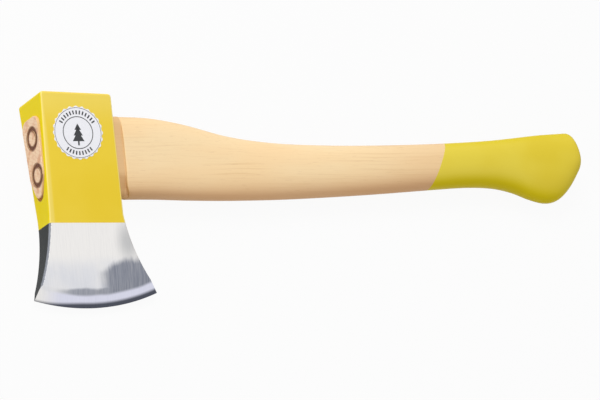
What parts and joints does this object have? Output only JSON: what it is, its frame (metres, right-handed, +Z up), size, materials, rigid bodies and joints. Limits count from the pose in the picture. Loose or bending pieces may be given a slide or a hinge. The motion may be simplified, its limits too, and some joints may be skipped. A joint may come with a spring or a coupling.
{
  "type": "hand axe",
  "caption": "Short-hafted axe lying on its cheek: forged head with flat poll and curved bit, lacquered above the grind, on a wooden haft with a flared knob, held by ring wedges.",
  "frame": {"origin": "point on the resting lower cheek, straight under the middle of the eye", "axes": "+X along the haft to the knob, +Y to the poll, +Z up, out of the upper cheek; the axe lies flat on its lower cheek"},
  "size_m": [0.464, 0.1581, 0.0385],
  "materials": {
    "lacquered_steel": "yellow lacquer on poll, cheeks and sides; ground bright steel below, black forge scale on the narrow sides of the blade",
    "ash": "oiled pale ash with long grain, the knob end dipped in yellow lacquer",
    "wedge_steel": "steel ring with a dark brown oxide",
    "label_film": "white printed label with a scalloped edge"
  },
  "bodies": {
    "root": {"axe_head": "lacquered_steel", "haft": "ash", "ring_wedge_upper": "wedge_steel", "ring_wedge_lower": "wedge_steel", "label": "label_film"}
  },
  "joints": []
}
